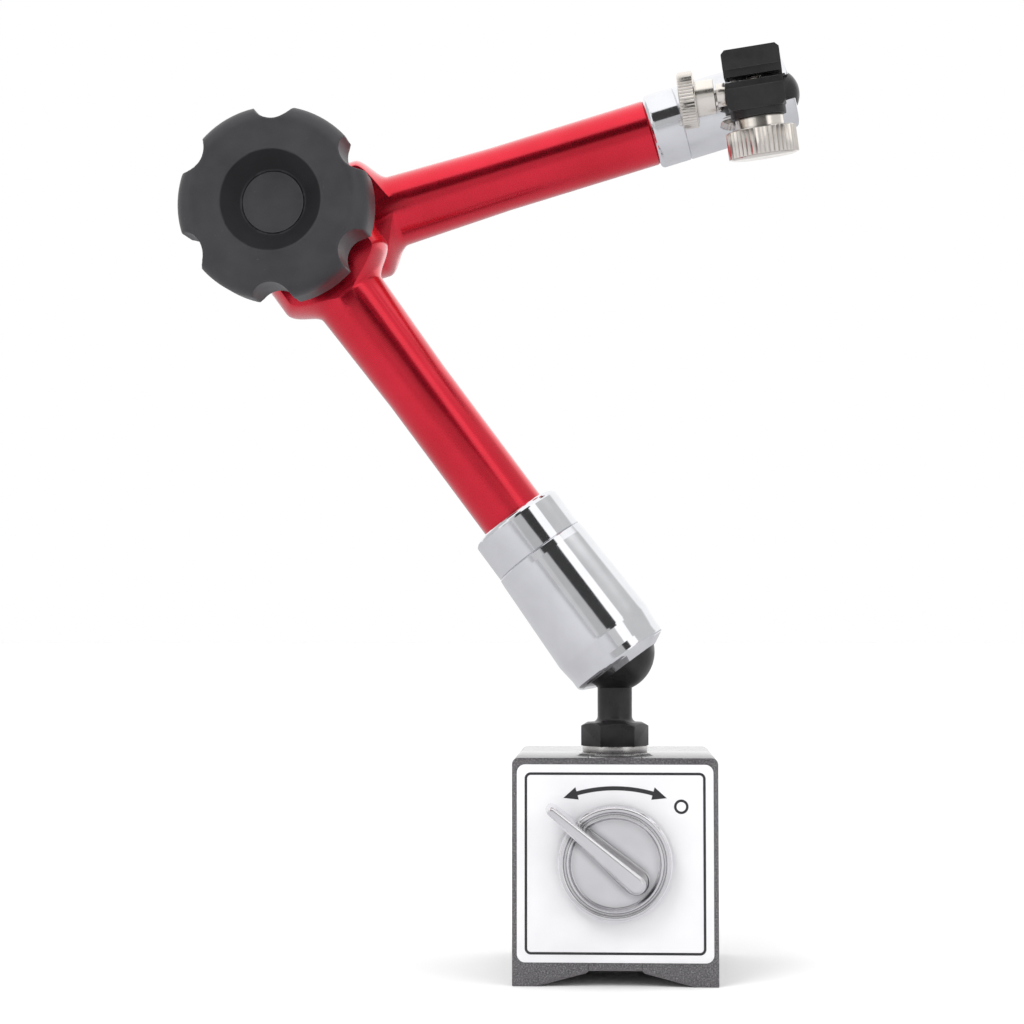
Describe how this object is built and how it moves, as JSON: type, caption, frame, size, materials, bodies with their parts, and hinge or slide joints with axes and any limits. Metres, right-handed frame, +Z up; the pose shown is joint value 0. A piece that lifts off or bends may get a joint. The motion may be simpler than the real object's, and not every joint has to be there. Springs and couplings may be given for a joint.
{
  "type": "articulated magnetic base gauge holder",
  "caption": "Switchable magnetic base carrying two hinged red arms on ball joints, a central lobed clamping knob and a swivelling dovetail jaw clamp for a dial gauge.",
  "frame": {"origin": "centre of the base's footprint, in the plane of its feet", "axes": "+Z up out of the feet, +Y away from the switch face, +X to the right when facing the switch"},
  "size_m": [0.1586, 0.0789, 0.2392],
  "materials": {
    "hammertone": "hammertone enamel, fine mottle",
    "plate": "satin white printed sheet",
    "bronze": "turned bearing bronze",
    "magnet": "sintered magnet",
    "bright_steel": "turned bright steel",
    "switch_chrome": "die cast, chrome plated",
    "black_steel": "black oxide",
    "friction_steel": "phosphated steel",
    "chrome": "polished chrome plate",
    "red_anodised": "turned, red anodised",
    "friction_liner": "acetal liner",
    "knob_black": "moulded, fine matt grain",
    "knob_cap_black": "moulded, satin",
    "black_block": "black oxide, fine blasted",
    "nickel": "nickel plated, knurled"
  },
  "bodies": {
    "magnetic_base": {"pole_left": "hammertone", "pole_right": "hammertone", "base_core": "hammertone", "face_plate": "plate", "front_bush": "bronze", "rear_plug": "hammertone", "stud_washer": "bright_steel", "lower_ball_stud": "black_steel"},
    "switch": {"magnet_rotor": "magnet", "rotor_spindle": "bright_steel", "switch_knob": "switch_chrome", "switch_pin": "bright_steel"},
    "lower_seat": {"lower_friction_dish": "friction_steel"},
    "lower_cup": {"lower_push_cup": "bronze"},
    "lower_arm": {"lower_sleeve": "chrome", "lower_collar": "chrome", "lower_arm": "red_anodised", "hinge_friction_disc": "friction_liner", "hinge_washer": "bright_steel"},
    "lower_rod": {"lower_push_rod": "bright_steel"},
    "clamp_bolt": {"hinge_bolt": "bright_steel"},
    "hand_knob": {"hinge_knob": "knob_black", "knob_insert": "bronze", "knob_cap": "knob_cap_black"},
    "upper_arm": {"upper_arm": "red_anodised", "upper_collar": "chrome", "upper_sleeve": "chrome", "upper_push_cup": "bronze"},
    "upper_rod": {"upper_push_rod": "bright_steel"},
    "upper_seat": {"upper_seat_pad": "friction_steel"},
    "gauge_clamp": {"upper_ball_stud": "black_steel", "clamp_body": "black_block", "jaw_guide_pin": "bright_steel"},
    "jaw": {"clamp_jaw": "black_block"},
    "clamp_knob": {"clamp_nut": "nickel", "clamp_screw": "nickel"},
    "swivel_lock": {"thumb_screw": "nickel"}
  },
  "joints": [
    {"name": "switch_turn", "type": "hinge", "parent": "magnetic_base", "child": "switch", "pos_m": [0, -0.03, 0.0298], "axis": [0, -1, 0], "range_deg": [-90, 0]},
    {"name": "ball_yaw", "type": "hinge", "parent": "magnetic_base", "child": "lower_seat", "pos_m": [0, 0, 0.0806], "axis": [0, 0, 1], "continuous": true},
    {"name": "ball_tilt", "type": "hinge", "parent": "lower_seat", "child": "lower_cup", "pos_m": [0, 0, 0.0806], "axis": [-0.0523, -0.9986, 0], "range_deg": [-74.6, 1.3]},
    {"name": "arm_spin", "type": "hinge", "parent": "lower_cup", "child": "lower_arm", "pos_m": [0, 0, 0.0806], "axis": [-0.5961, 0.0312, 0.8023], "continuous": true},
    {"name": "arm_hinge", "type": "hinge", "parent": "lower_arm", "child": "upper_arm", "pos_m": [-0.08203, 0.02353, 0.19236], "axis": [-0.0523, -0.9986, 0], "range_deg": [-40, 110]},
    {"name": "knob_turn", "type": "hinge", "parent": "lower_arm", "child": "hand_knob", "pos_m": [-0.08304, 0.00435, 0.19236], "axis": [-0.0523, -0.9986, 0], "range_deg": [0, 180]},
    {"name": "bolt_slide", "type": "slide", "parent": "lower_arm", "child": "clamp_bolt", "axis": [0.0523, 0.9986, 0], "range_m": [0, 0.000625]},
    {"name": "lower_rod_slide", "type": "slide", "parent": "lower_arm", "child": "lower_rod", "axis": [-0.5961, 0.0312, 0.8023], "range_m": [0, 0.0003]},
    {"name": "upper_rod_slide", "type": "slide", "parent": "upper_arm", "child": "upper_rod", "axis": [-0.959, 0.0503, -0.279], "range_m": [0, 0.0003]},
    {"name": "stud_tilt", "type": "hinge", "parent": "upper_arm", "child": "upper_seat", "pos_m": [0.04263, 0.01699, 0.22863], "axis": [0.2829, 0.1072, -0.9531], "range_deg": [-116, 1]},
    {"name": "stud_spin", "type": "hinge", "parent": "upper_seat", "child": "gauge_clamp", "pos_m": [0.04263, 0.01699, 0.22863], "axis": [-0.0848, -0.987, -0.1362], "range_deg": [0, 180]},
    {"name": "jaw_knob_turn", "type": "hinge", "parent": "gauge_clamp", "child": "clamp_knob", "pos_m": [0.03687, 0.00086, 0.22578], "axis": [-0.1386, -0.1237, 0.9826], "range_deg": [-360, 360]},
    {"name": "jaw_slide", "type": "slide", "parent": "gauge_clamp", "child": "jaw", "axis": [-0.1386, -0.1237, 0.9826], "range_m": [-0.0007, 0.0007]},
    {"name": "thumb_turn", "type": "hinge", "parent": "gauge_clamp", "child": "swivel_lock", "pos_m": [0.02905, -0.00211, 0.22431], "axis": [0.9867, -0.1022, 0.1263], "range_deg": [-180, 180]}
  ],
  "couplings": [
    {"joint": "knob_turn", "follows": "bolt_slide", "rad_per_m": 5026.5},
    {"joint": "lower_rod_slide", "follows": "bolt_slide", "ratio": 0.32},
    {"joint": "upper_rod_slide", "follows": "bolt_slide", "ratio": 0.32},
    {"joint": "jaw_knob_turn", "follows": "jaw_slide", "rad_per_m": 8975}
  ]
}
